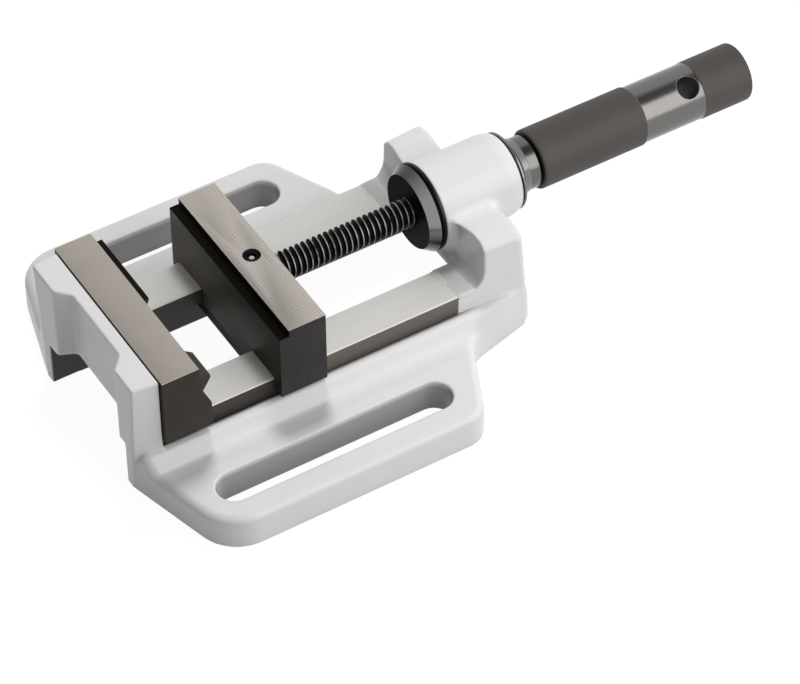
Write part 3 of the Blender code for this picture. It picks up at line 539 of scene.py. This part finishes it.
def paint_look():
    """Light gloss paint, painted grey in the slots as painted shade and greyer just behind the rails' ends;
    the bare iron is bright on the rails' tops, painted darker and browner on their outer sides as painted
    shade, darker still in front of the moving jaw as painted shade between the jaws, and painted near black
    as painted shade on their inner sides and in the channel."""
    look = Look("casting_paint", coat_roughness=0.20, specular_ior_level=0.30)
    cloud = look.noise(24.0, detail=2.0)
    peel = look.noise(1.6, detail=2.0)
    milled = look.noise(0.9, (60, 1, 1), 4.0, 0.65)
    side = look.y.absolute()

    behind_wall = look.x.between(WALL_BACK - 0.2, WALL_BACK - 0.1)
    past_rails = look.x.between(RAIL_END - 0.2, RAIL_END)
    rail = side.between(RAIL_INNER - 0.2, RAIL_INNER - 0.1)
    rail = rail * (1 - side.between(RAIL_OUTER + 0.05, RAIL_OUTER + 0.15))
    rail = rail * behind_wall * (1 - past_rails)
    edge = look.z.between(RAIL_TOP - 0.6, RAIL_TOP - 0.5)
    top = rail * edge * (1 - look.z.between(RAIL_TOP + 0.5, RAIL_TOP + 0.7))
    flank = rail * look.z.between(21.0, 21.6) * (1 - edge)
    inner = side.between(RAIL_INNER - 0.3, RAIL_INNER - 0.2)
    inner = inner * (1 - side.between(RAIL_INNER + 0.05, RAIL_INNER + 0.15))
    inner = inner * look.z.between(CHANNEL_TOP - 0.2, CHANNEL_TOP)
    inner = inner * behind_wall * (1 - look.x.between(178, 178.5))
    channel = 1 - side.between(CHANNEL_HALF + 0.4, CHANNEL_HALF + 0.6)
    channel = channel * (1 - look.z.between(CHANNEL_TOP + 0.3, CHANNEL_TOP + 0.5))
    bare = top.most(flank).most(inner).most(channel)

    along, off = ((look.x - SLOT_MIDDLE).absolute() - SLOT_HALF).most(0.0), side - SLOT_SIDE
    slot = 1 - ((along * along + off * off) ** 0.5).between(SLOT_RADIUS + 0.1, SLOT_RADIUS + 0.8)
    slot = slot * (1 - look.z.between(14.0, 16.8))
    patch = past_rails * (1 - look.x.between(174, 186)) * look.z.between(30, 32)
    patch = patch * side.between(22, 25) * (1 - side.between(42, 45))

    paint = look.blend(cloud, (0.80, 0.80, 0.80), (0.84, 0.84, 0.835))
    # Painted shade: the slots' walls are painted grey.
    paint = look.blend(slot, paint, (0.43, 0.43, 0.43))
    paint = look.blend(patch, paint, (0.56, 0.56, 0.55))
    iron = look.blend(milled, (0.66, 0.645, 0.615), (0.84, 0.82, 0.79))
    # The rails' outer sides: bare iron painted darker and browner as painted shade, and darker still in front
    # of the moving jaw as painted shade between the jaws.
    shaded_flank = look.blend(milled, (0.140, 0.122, 0.110), (0.195, 0.172, 0.156))
    shade_between_jaws = look.blend(milled, (0.040, 0.034, 0.030), (0.090, 0.078, 0.070))
    shaded_flank = look.blend(look.x.between(JAW_FACE, JAW_BACK), shade_between_jaws, shaded_flank)
    # Painted shade: the rails' inner sides and the channel under them are painted near black.
    dark = look.blend(milled, (0.026, 0.021, 0.017), (0.045, 0.037, 0.030))
    colour = look.blend(flank, look.blend(top, paint, iron), shaded_flank)
    colour = look.blend(inner.most(channel), colour, dark)
    look.feed(base_color=colour, metallic=(top + flank) * 0.2, roughness=0.32 + bare * 0.10 + cloud * 0.05,
              coat_weight=(1 - bare) * 0.18)
    look.bump(peel * (1 - bare) * 0.15 + milled * bare, 0.02)
    return look.material


def scaled(colour, factor):
    """A colour made lighter or darker by a factor."""
    return [value * factor for value in colour]


def ground_look(name, top_z, side_colour, top_colour, ledge, slant=0.0):
    """Steel ground bright on top, with fine grinding lines, and dark on its other faces, painted black in the
    ledge as its shade. With a slant, the top has regular cross lines at that slant and the front a painted
    olive sheen, lighter towards the far side."""
    look = Look(name, specular_ior_level=0.03)
    ground = look.noise(0.55, (1.0, 26, 1.0), 4.0, 0.6)
    cloud = look.noise(13.0, detail=3.0)
    top = look.z.between(top_z - 0.35, top_z - 0.2)
    light = look.blend(ground * 0.6 + cloud * 0.4, scaled(top_colour, 0.85), scaled(top_colour, 1.12))
    dark = look.blend(cloud, scaled(side_colour, 0.8), scaled(side_colour, 1.25))
    if slant:
        wave = ((look.x + look.y * slant + cloud * LINE_WANDER) * LINE_RATE).sine() * 0.5 + 0.5
        light = look.blend(wave * wave * 0.50, light, scaled(top_colour, 0.45))
        # Painted sheen: the moving jaw's front is painted olive, lighter towards the far side.
        front = 1 - look.x.between(JAW_FACE + 0.2, JAW_FACE + 0.4)
        olive = look.blend(look.y.between(-25, 35), (0.040, 0.035, 0.027), (0.170, 0.156, 0.128))
        dark = look.blend(front, dark, olive)
    low, high, start, end, from_y = ledge
    # Painted shade: the ledge is painted black.
    black = look.z.between(low - 0.2, low) * (1 - look.z.between(high, high + 0.2))
    black = black * look.x.between(start - 0.2, start) * (1 - look.x.between(end, end + 0.2))
    black = black * look.y.between(from_y - 0.5, from_y + 0.5)
    dark = look.blend(black, dark, (0.006, 0.005, 0.004))
    look.feed(base_color=look.blend(top, dark, light), roughness=0.42 + ground * 0.12,
              metallic=0.05 + top * 0.85)
    look.bump(ground * top, 0.012)
    return look.material


def black_look(name, colour=(0.022, 0.021, 0.021), rough=0.3, metallic=0.6, shine=0.5):
    """Blackened steel, a little cloudy and as glossy as its roughness and shine say."""
    look = Look(name, metallic=metallic, specular_ior_level=shine)
    cloud = look.noise(5.0)
    fine = look.noise(0.4, detail=2.0)
    look.feed(base_color=look.blend(cloud, scaled(colour, 0.7), scaled(colour, 1.4)),
              roughness=rough + fine * 0.12)
    look.bump(fine, 0.01)
    return look.material


def around(look):
    """Distance from the screw's axis, in millimetres."""
    return (look.y * look.y + (look.z - SCREW_Z) * (look.z - SCREW_Z)) ** 0.5


def lock_screw_look():
    """Black set screw with a painted highlight: a bright spot at the bottom of its socket."""
    look = Look("lock_screw_steel")
    out = ((look.x - LOCK_X) * (look.x - LOCK_X) + look.y * look.y) ** 0.5
    # Painted highlight: the socket's bottom is painted bright.
    spot = 1 - out.between(0.8, 1.5)
    look.feed(base_color=look.blend(spot, (0.008, 0.008, 0.008), (0.55, 0.54, 0.53)),
              roughness=0.2 + look.noise(0.8) * 0.15, metallic=1 - spot)
    return look.material


def thread_look():
    """Blackened screw; the crests are painted bright in patches, as rubbed wear and as a painted highlight.
    """
    look = Look("thread_black", specular_ior_level=0.05)
    crest = around(look).between(THREAD_RADIUS - 0.16, THREAD_RADIUS - 0.10)
    cloud = look.noise(3.0)
    # Crests painted bright in patches: rubbed wear and a painted highlight.
    crest_wear_and_highlight = crest * look.noise(6.0, detail=4.0).between(0.25, 0.60)
    look.feed(base_color=look.blend(crest_wear_and_highlight, (0.006, 0.0055, 0.005), (0.42, 0.41, 0.40)),
              roughness=0.45 + cloud * 0.15, metallic=crest_wear_and_highlight * 0.6)
    return look.material


def sleeve_look():
    """Blackened collar face and rims, a turned bevel painted lighter above on the near side as painted light,
    and a polished dark neck with a black groove behind it."""
    look = Look("sleeve_steel", specular_ior_level=0.015)
    out = around(look)
    bevel = out.between(COLLAR_FACE_RADIUS - 0.1, COLLAR_FACE_RADIUS + 0.1)
    bevel = bevel * (1 - out.between(COLLAR_RADIUS - 0.2, COLLAR_RADIUS - 0.1))
    bevel = bevel * look.x.between(COLLAR_FRONT, COLLAR_FRONT + 0.3)
    bevel = bevel * (1 - look.x.between(BEVEL_END + 0.1, BEVEL_END + 0.3))
    neck = look.x.between(200, 201) * (1 - look.x.between(NECK_END - 0.1, NECK_END + 0.1))
    neck = neck * out.between(NECK_RADIUS - 0.2, NECK_RADIUS - 0.1)
    bright = bevel.most(neck)
    rings = look.noise(0.5, (1, 40, 40))
    # Painted light: the bevel's upper near part is painted lighter.
    lit = (1 - look.y.between(-14, 6)) * look.z.between(SCREW_Z - 9, SCREW_Z + 6)
    shade = look.blend(lit, (0.065, 0.063, 0.060), (0.25, 0.245, 0.24))
    shade = look.blend(neck, shade, (0.15, 0.145, 0.14))
    look.feed(base_color=look.blend(bright, (0.004, 0.0036, 0.003), shade),
              roughness=0.34 - bright * 0.16 + rings * 0.06, metallic=bright)
    return look.material


def handle_look():
    """Dark finely knurled grips, a bright turned band, and a bore and holes painted black as painted shade.
    """
    look = Look("handle_steel")
    out = around(look)
    band = look.x.between(BAND_START + 0.2, BAND_START + 0.7) * (1 - look.x.between(BAND_END, BAND_END + 0.3))
    fine = look.noise(0.35, detail=3.0)
    cloud = look.noise(18.0, detail=2.0)
    turned_lines = look.noise(0.35, (1, 60, 60), 3.0)
    grip = look.blend(cloud, (0.058, 0.052, 0.048), (0.074, 0.066, 0.061))
    bright = look.blend(turned_lines, (0.150, 0.144, 0.139), (0.190, 0.183, 0.176))
    # Painted shade: everything below the grips' surface, in the bore and the holes, is painted black.
    inside = 1 - out.between(GRIP_RADIUS - 1.4, GRIP_RADIUS - 0.8)
    colour = look.blend(inside, look.blend(band, grip, bright), (0.004, 0.004, 0.004))
    band = band * (1 - inside)
    look.feed(base_color=colour, metallic=0.10 * (1 - inside) + band * 0.90,
              roughness=0.60 - band * 0.42 + fine * 0.06)
    look.bump(fine * (1 - band * 0.9), 0.05)
    return look.material


def ring_look():
    """Dark polished steel of the ring behind the housing."""
    look = Look("ring_steel", metallic=1.0)
    turned_lines = look.noise(0.5, (1, 50, 50))
    look.feed(base_color=look.blend(turned_lines, (0.165, 0.159, 0.153), (0.25, 0.242, 0.234)),
              roughness=0.18 + turned_lines * 0.10)
    return look.material


# Pieces

def ride_slot(piece, body, slot, *nodes):
    """The piece takes the place of CAD nodes and moves with a body; slot is not used."""
    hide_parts(*nodes)
    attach(piece, body)


def dress_casting():
    """Skin of the casting field, on a grid that is coarser along the straight of the slots."""
    xs = spread((-0.6, 0.95), (46, 2.4), (122, 1.0), (223.6, 1))
    ys = spread((-101, 1.0), (101, 1))
    zs = spread((-0.9, 0.95), (73.6, 1))
    ride_slot(make_piece("casting", *skin(casting, xs, ys, zs), paint_look()), "vise_body", "body", "body")


def eased_copy(node, name, look, body, slot):
    """Copy of a CAD node with its loose triangles merged, its flats made whole and its edges rounded."""
    piece = bpy.data.objects.new(name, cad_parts[node].data.copy())
    bpy.context.scene.collection.objects.link(piece)
    whole = bmesh.new()
    whole.from_mesh(piece.data)
    bmesh.ops.remove_doubles(whole, verts=whole.verts, dist=1e-6)
    bmesh.ops.dissolve_limit(whole, angle_limit=math.radians(1), verts=whole.verts, edges=whole.edges)
    whole.to_mesh(piece.data)
    whole.free()
    piece.data.shade_smooth()
    piece.data.materials.clear()
    piece.data.materials.append(look)
    edges = piece.modifiers.new("edges", "BEVEL")
    edges.width = EASED_WIDTH / 1000.0
    edges.segments = 3
    edges.limit_method = "ANGLE"
    edges.angle_limit = math.radians(30)
    edges.harden_normals = True
    ride_slot(piece, body, slot, node)


def dress_jaws():
    """Both jaws as eased copies in ground steel; the moving jaw's top has slanted lines."""
    plate = ground_look("jaw_plate_steel", PLATE_TOP, (0.062, 0.055, 0.048), (0.452, 0.414, 0.375),
                        PLATE_LEDGE)
    jaw = ground_look("jaw_block_steel", JAW_TOP, (0.056, 0.052, 0.052), (0.59, 0.545, 0.50), JAW_LEDGE, 0.24)
    eased_copy("fixed_jaw_plate", "jaw_plate", plate, "vise_body", "jaw_plate")
    eased_copy("moving_jaw", "jaw_block", jaw, "jaw_carriage", "jaw_block")


def screw_thread():
    """Left-hand trapezoidal thread: a profile of crest, flank and root repeated along the screw; each turn
    of angle moves it on by one pitch, and both ends are clipped to a plane and a chamfer."""
    angle = np.linspace(0, 2 * np.pi, 56, endpoint=False)
    share = np.array([0.0, 0.03, 0.16, 0.19, 0.46, 0.80])
    depth = np.array([0.12, 0.0, 0.0, 0.12, 1.4, 1.4])
    turns = int((THREAD_END - THREAD_START) / THREAD_PITCH) + 3
    along = (np.arange(turns)[:, None] + share).ravel() * THREAD_PITCH + THREAD_START - 1.5 * THREAD_PITCH
    radius = THREAD_RADIUS - np.tile(depth, turns)
    x = along[:, None] - THREAD_PITCH * angle / (2 * np.pi)
    r = np.broadcast_to(radius[:, None], x.shape)
    x = np.clip(x, THREAD_START, THREAD_END)
    r = np.minimum(r, THREAD_RADIUS - THREAD_CHAMFER + (THREAD_END - x))
    points = np.stack([x, r * np.cos(angle), r * np.sin(angle) + SCREW_Z], -1)
    rows, columns = x.shape
    faces = grid_faces(rows, columns, len(share)).tolist()
    piece = make_piece("screw_thread", points.reshape(-1, 3), faces, None, thread_look())
    piece.data.set_sharp_from_angle(angle=math.radians(25))
    ride_slot(piece, "jaw_carriage", "black_steel", "spindle")


def lock_screw():
    """Set screw just below the jaw's top, turned about a vertical axis, with a round socket that has a cone
    at its bottom, painted bright as a painted highlight."""
    corners = [(58.0, 3.0, 0), (59.0, 3.9, 0.2), (65.9, 3.9, 0.4), (65.9, 2.3, 0.2), (64.9, 2.0, 0),
               (65.3, 0.05, 0)]
    ride_slot(turned("lock_screw", corners, lock_screw_look(), 64, upright=LOCK_X), "jaw_carriage",
              "lock_screw", "spindle_lock_screw")


def neck_ring():
    """Thin flange and a taper behind it, turned about the screw's axis around the sleeve's neck."""
    corners = [(222.3, 13.5, 0), (222.3, 19.2, 0.4), (223.4, 19.2, 0.6), (225.6, 14.6, 1.8),
               (229.8, 13.5, 0.4), (229.8, 13.3, 0)]
    ride_slot(turned("neck_ring", corners, ring_look(), closed=True), "handle_assembly", "ring_steel",
              "rear_ring")


def washer():
    """Flat ring between the collar and the housing, turned about the screw's axis."""
    corners = [(177.2, 13.5, 0), (177.2, 21.6, 0.3), (178.7, 21.6, 0.3), (178.7, 13.5, 0)]
    ride_slot(turned("washer", corners, black_look("washer_black", (0.010, 0.009, 0.009)), closed=True),
              "handle_assembly", "black_steel", "thrust_washer")


def sleeve():
    """Collar with a bevelled front, neck, and a thinner tail in the handle, turned about the screw's axis."""
    corners = [(COLLAR_FRONT, 7.3, 0), (COLLAR_FRONT, COLLAR_FACE_RADIUS, 0.25),
               (BEVEL_END, COLLAR_RADIUS, 0.3), (176.9, COLLAR_RADIUS, 0.3), (176.9, NECK_RADIUS, 0),
               (NECK_END, NECK_RADIUS, 0.3), (NECK_END, 12.2, 0), (236.3, 12.2, 0), (236.3, TAIL_RADIUS, 0),
               (TAIL_END, TAIL_RADIUS, 0.5), (TAIL_END, 8.3, 0), (206.5, 8.3, 0), (205.5, 7.3, 0)]
    ride_slot(turned("sleeve", corners, sleeve_look(), closed=True), "handle_assembly", "black_steel",
              "nut_sleeve")


def handle_body(x, y, z):
    """Handle: front grip, narrower band and end grip around the axis, without its bore, the slanted cross
    hole and the small hole of the set screw underneath."""
    reach = np.hypot(y, z - SCREW_Z)
    radius = GRIP_RADIUS - BAND_DEPTH * np.clip((x - BAND_START) / 0.7, 0, 1)
    radius = radius + END_GRIP_RISE * np.clip((x - BAND_END) / 0.5, 0, 1)
    solid = overlap(overlap(reach - radius, HANDLE_FRONT - x, 1.3), x - HANDLE_END, 1.3)
    bore = np.where(x < TAIL_END + 0.3, HANDLE_BORE_WIDE, HANDLE_BORE_NARROW)
    solid = cut(solid, np.maximum(reach - bore, x - HANDLE_BORE_END), 0.2)
    off_axis = y * math.cos(CROSS_TILT) + (z - SCREW_Z) * math.sin(CROSS_TILT)
    solid = cut(solid, np.hypot(x - CROSS_X, off_axis) - CROSS_RADIUS, 0.5)
    return cut(solid, np.maximum(np.hypot(x - GRUB_X, y) - GRUB_RADIUS, z - SCREW_Z), 0.2)


def turned_handle():
    """Skin of the handle field, on a grid that is finer at its ends, the band's edges and the cross hole."""
    xs = spread((235.9, 0.6), (239.1, 2.2), (291.9, 0.35), (294.7, 1.6), (313.4, 0.5), (328.4, 2.2),
                (351, 0.5), (354.6, 1))
    ys = spread((-15.3, 0.5), (15.3, 1))
    piece = make_piece("turned_handle", *skin(handle_body, xs, ys, ys + SCREW_Z), handle_look())
    ride_slot(piece, "handle_assembly", "handle_steel", "handle")


def keep_node(node, look):
    """A CAD node that is shown as it is, in a better material."""
    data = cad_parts[node].data
    data.materials.clear()
    data.materials.append(look)


# Camera, floor and lights

def set_camera():
    """Camera at a distance from its aim, along the direction of its azimuth and elevation, then rolled."""
    azimuth, elevation, roll = map(math.radians, (CAMERA_AZIMUTH, CAMERA_ELEVATION, CAMERA_ROLL))
    back = Vector((math.sin(azimuth) * math.cos(elevation), -math.cos(azimuth) * math.cos(elevation),
                   math.sin(elevation)))
    right = Vector((math.cos(azimuth), math.sin(azimuth), 0))
    up = back.cross(right)
    across = math.cos(roll) * right + math.sin(roll) * up
    upward = math.cos(roll) * up - math.sin(roll) * right
    spot = Vector(to_frame(CAMERA_AIM)) + back * CAMERA_DISTANCE
    camera = bpy.data.cameras.new("camera")
    camera.lens = FOCAL_PIXELS * SENSOR_WIDTH / PICTURE_WIDTH
    camera.sensor_width = SENSOR_WIDTH
    camera.clip_start, camera.clip_end = 0.05, 60
    holder = bpy.data.objects.new("camera", camera)
    holder.matrix_world = Matrix(((across.x, upward.x, back.x, spot.x), (across.y, upward.y, back.y, spot.y),
                                  (across.z, upward.z, back.z, spot.z), (0, 0, 0, 1)))
    bpy.context.scene.collection.objects.link(holder)
    bpy.context.scene.camera = holder


def soft_box(name, spot, aim, width, height, power, mirrored=True):
    """Area lamp at a spot in metres, turned to its aim; without mirrored, no mirror shows it."""
    light = bpy.data.lights.new(name, "AREA")
    light.shape = "RECTANGLE"
    light.size, light.size_y, light.energy = width, height, power
    holder = bpy.data.objects.new(name, light)
    holder.location = spot
    holder.rotation_euler = (Vector(aim) - Vector(spot)).to_track_quat("-Z", "Y").to_euler()
    holder.visible_glossy = mirrored
    bpy.context.scene.collection.objects.link(holder)


def set_lamps():
    """Small soft lamp above the far side and a broad one on the near side."""
    soft_box("above", spot=(0.16, 0.45, 1.34), aim=(0, 0, 0), width=0.27, height=0.27, power=8.2,
             mirrored=False)
    soft_box("side", spot=(0.343, -0.627, 0.485), aim=(0, 0, 0.03), width=1.04, height=0.72, power=4.3)


def set_world():
    """White surroundings for the camera and for mirrors, with a dimmer ceiling for the latter; the light they
    give grows from the casting's front to the handle's end."""
    world = bpy.data.worlds.new("studio")
    world.use_nodes = True
    tree = world.node_tree

    def node(kind, settings, inputs):
        return add_node(tree, kind, settings, inputs).outputs[0]

    paths = add_node(tree, "ShaderNodeLightPath").outputs
    place = add_node(tree, "ShaderNodeTexCoord").outputs["Generated"]
    along, _, height = add_node(tree, "ShaderNodeSeparateXYZ", {}, {0: place}).outputs
    ceiling = node("ShaderNodeMapRange", {"interpolation_type": "SMOOTHSTEP"},
                   {"Value": height, "From Min": CEILING_START, "From Max": CEILING_FULL, "To Min": 1.0,
                    "To Max": CEILING})
    plain = node("ShaderNodeMath", {"operation": "MAXIMUM"},
                 {0: paths["Is Camera Ray"], 1: paths["Is Transmission Ray"]})
    bright = node("ShaderNodeMath", {"operation": "MAXIMUM"}, {0: plain, 1: ceiling})
    seen = node("ShaderNodeMath", {"operation": "MAXIMUM"}, {0: plain, 1: paths["Is Glossy Ray"]})
    ambient = node("ShaderNodeMapRange", {}, {"Value": along, "From Min": -1.0, "To Min": AMBIENT_FRONT,
                                              "To Max": AMBIENT_REAR})
    strength = node("ShaderNodeMapRange", {}, {"Value": seen, "To Min": ambient, "To Max": bright})
    tree.nodes["Background"].inputs["Color"].default_value = (1, 1, 1, 1)
    world.cycles.sampling_method = "NONE"
    tree.links.new(strength, tree.nodes["Background"].inputs["Strength"])
    bpy.context.scene.world = world


def floor_look():
    """Pale grey for the light that falls on the object; for the camera and for mirrors a white glow with a
    faint matt share, which keeps a faint shadow."""
    look = Look("floor_white", roughness=0.9, specular_ior_level=0.1)
    grain = look.noise(40.0)
    look.feed(base_color=look.blend(grain, (0.56, 0.56, 0.56), (0.58, 0.58, 0.58)))
    paths = look.node("ShaderNodeLightPath").outputs
    seen = Signal(look, paths["Is Camera Ray"]).most(Signal(look, paths["Is Glossy Ray"]))
    seen = seen.most(Signal(look, paths["Is Transmission Ray"]))
    glow = look.node("ShaderNodeEmission", {}, {"Strength": FLOOR_GLOW})
    matt = look.node("ShaderNodeBsdfDiffuse", {}, {"Color": (0.10, 0.10, 0.10, 1)})
    white = look.node("ShaderNodeAddShader", {}, {0: glow.outputs[0], 1: matt.outputs[0]})
    mix = look.node("ShaderNodeMixShader", {}, {0: seen, 1: look.shader.outputs[0], 2: white.outputs[0]})
    look.tree.links.new(mix.outputs[0], look.tree.nodes["Material Output"].inputs[0])
    look.material.cycles.emission_sampling = "NONE"
    return look.material


def set_floor():
    """Square floor just under the table's height."""
    corners = np.array([(-1, -1, 0), (1, -1, 0), (1, 1, 0), (-1, 1, 0)], float)
    points = corners * FLOOR_HALF + (ORIGIN_X, 0, -0.2)
    floor = make_piece("floor", points, [(0, 1, 2, 3)], None, floor_look())


def main():
    bpy.context.scene.view_settings.view_transform = "Standard"
    set_camera()
    set_world()
    set_floor()
    set_lamps()
    dress_casting()
    dress_jaws()
    screw_thread()
    neck_ring()
    washer()
    sleeve()
    turned_handle()
    fastener = black_look("fastener_black")
    for node in ("fixed_jaw_screw_1", "fixed_jaw_screw_2", "keeper_screw_1", "keeper_screw_2",
                 "handle_grub_screw"):
        keep_node(node, fastener)
    lock_screw()
    keep_node("keeper_plate", black_look("keeper_steel", (0.022, 0.018, 0.015), 0.45, 0.0, 0.03))


main()
